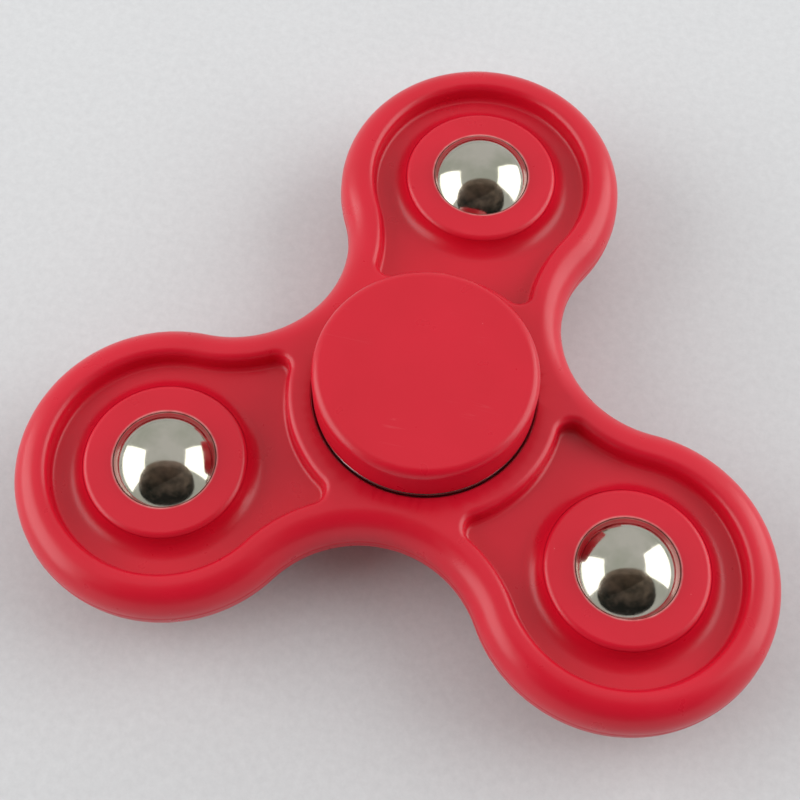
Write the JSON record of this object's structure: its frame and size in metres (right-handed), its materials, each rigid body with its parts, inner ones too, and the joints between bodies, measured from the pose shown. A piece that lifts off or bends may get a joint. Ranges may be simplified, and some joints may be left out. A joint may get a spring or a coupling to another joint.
{
  "type": "fidget spinner",
  "caption": "Tri-lobe hand spinner: a moulded rotor with steel weight balls turns on a ball bearing between round finger pads.",
  "frame": {"origin": "centre of the lower finger pad's flat face, on the spin axis, where the spinner stands on a table", "axes": "+Z along the spin axis, out of the upper finger pad; +Y along one lobe; the rotor's middle plane is at z = 8.5 mm"},
  "size_m": [0.0746, 0.0686, 0.017],
  "materials": {
    "body_plastic": "satin red moulded ABS, fine spark texture",
    "pad_plastic": "satin red moulded ABS, lightly handled",
    "polished_steel": "polished, nickel-bright steel balls",
    "race_steel": "ground bearing steel",
    "sheet_steel": "stamped bright sheet steel"
  },
  "bodies": {
    "finger_hub": {"finger_pad_lower": "pad_plastic", "finger_pad_upper": "pad_plastic", "bearing_inner_race": "race_steel"},
    "rotor": {"rotor_body": "body_plastic", "weight_ball_1": "polished_steel", "weight_ball_2": "polished_steel", "weight_ball_3": "polished_steel", "bearing_outer_race": "race_steel", "bearing_shield_upper": "sheet_steel", "bearing_shield_lower": "sheet_steel", "snap_ring_upper": "sheet_steel", "snap_ring_lower": "sheet_steel"},
    "ball_cage": {"ball_cage_upper": "sheet_steel", "ball_cage_lower": "sheet_steel"},
    "rolling_ball_1": {"bearing_ball_1": "polished_steel"},
    "rolling_ball_2": {"bearing_ball_2": "polished_steel"},
    "rolling_ball_3": {"bearing_ball_3": "polished_steel"},
    "rolling_ball_4": {"bearing_ball_4": "polished_steel"},
    "rolling_ball_5": {"bearing_ball_5": "polished_steel"},
    "rolling_ball_6": {"bearing_ball_6": "polished_steel"},
    "rolling_ball_7": {"bearing_ball_7": "polished_steel"}
  },
  "joints": [
    {"name": "rotor_spin", "type": "hinge", "parent": "finger_hub", "child": "rotor", "pos_m": [0, 0, 0.0085], "axis": [0, 0, 1], "continuous": true},
    {"name": "cage_orbit", "type": "hinge", "parent": "finger_hub", "child": "ball_cage", "pos_m": [0, 0, 0.0085], "axis": [0, 0, 1], "continuous": true},
    {"name": "ball_roll_1", "type": "hinge", "parent": "ball_cage", "child": "rolling_ball_1", "pos_m": [0.0075, 0, 0.0085], "axis": [0, 0, 1], "continuous": true},
    {"name": "ball_roll_2", "type": "hinge", "parent": "ball_cage", "child": "rolling_ball_2", "pos_m": [0.00468, 0.00586, 0.0085], "axis": [0, 0, 1], "continuous": true},
    {"name": "ball_roll_3", "type": "hinge", "parent": "ball_cage", "child": "rolling_ball_3", "pos_m": [-0.00167, 0.00731, 0.0085], "axis": [0, 0, 1], "continuous": true},
    {"name": "ball_roll_4", "type": "hinge", "parent": "ball_cage", "child": "rolling_ball_4", "pos_m": [-0.00676, 0.00325, 0.0085], "axis": [0, 0, 1], "continuous": true},
    {"name": "ball_roll_5", "type": "hinge", "parent": "ball_cage", "child": "rolling_ball_5", "pos_m": [-0.00676, -0.00325, 0.0085], "axis": [0, 0, 1], "continuous": true},
    {"name": "ball_roll_6", "type": "hinge", "parent": "ball_cage", "child": "rolling_ball_6", "pos_m": [-0.00167, -0.00731, 0.0085], "axis": [0, 0, 1], "continuous": true},
    {"name": "ball_roll_7", "type": "hinge", "parent": "ball_cage", "child": "rolling_ball_7", "pos_m": [0.00468, -0.00586, 0.0085], "axis": [0, 0, 1], "continuous": true}
  ],
  "couplings": [
    {"joint": "cage_orbit", "follows": "rotor_spin", "ratio": 0.63227},
    {"joint": "ball_roll_1", "follows": "rotor_spin", "ratio": 1.7579},
    {"joint": "ball_roll_2", "follows": "rotor_spin", "ratio": 1.7579},
    {"joint": "ball_roll_3", "follows": "rotor_spin", "ratio": 1.7579},
    {"joint": "ball_roll_4", "follows": "rotor_spin", "ratio": 1.7579},
    {"joint": "ball_roll_5", "follows": "rotor_spin", "ratio": 1.7579},
    {"joint": "ball_roll_6", "follows": "rotor_spin", "ratio": 1.7579},
    {"joint": "ball_roll_7", "follows": "rotor_spin", "ratio": 1.7579}
  ]
}
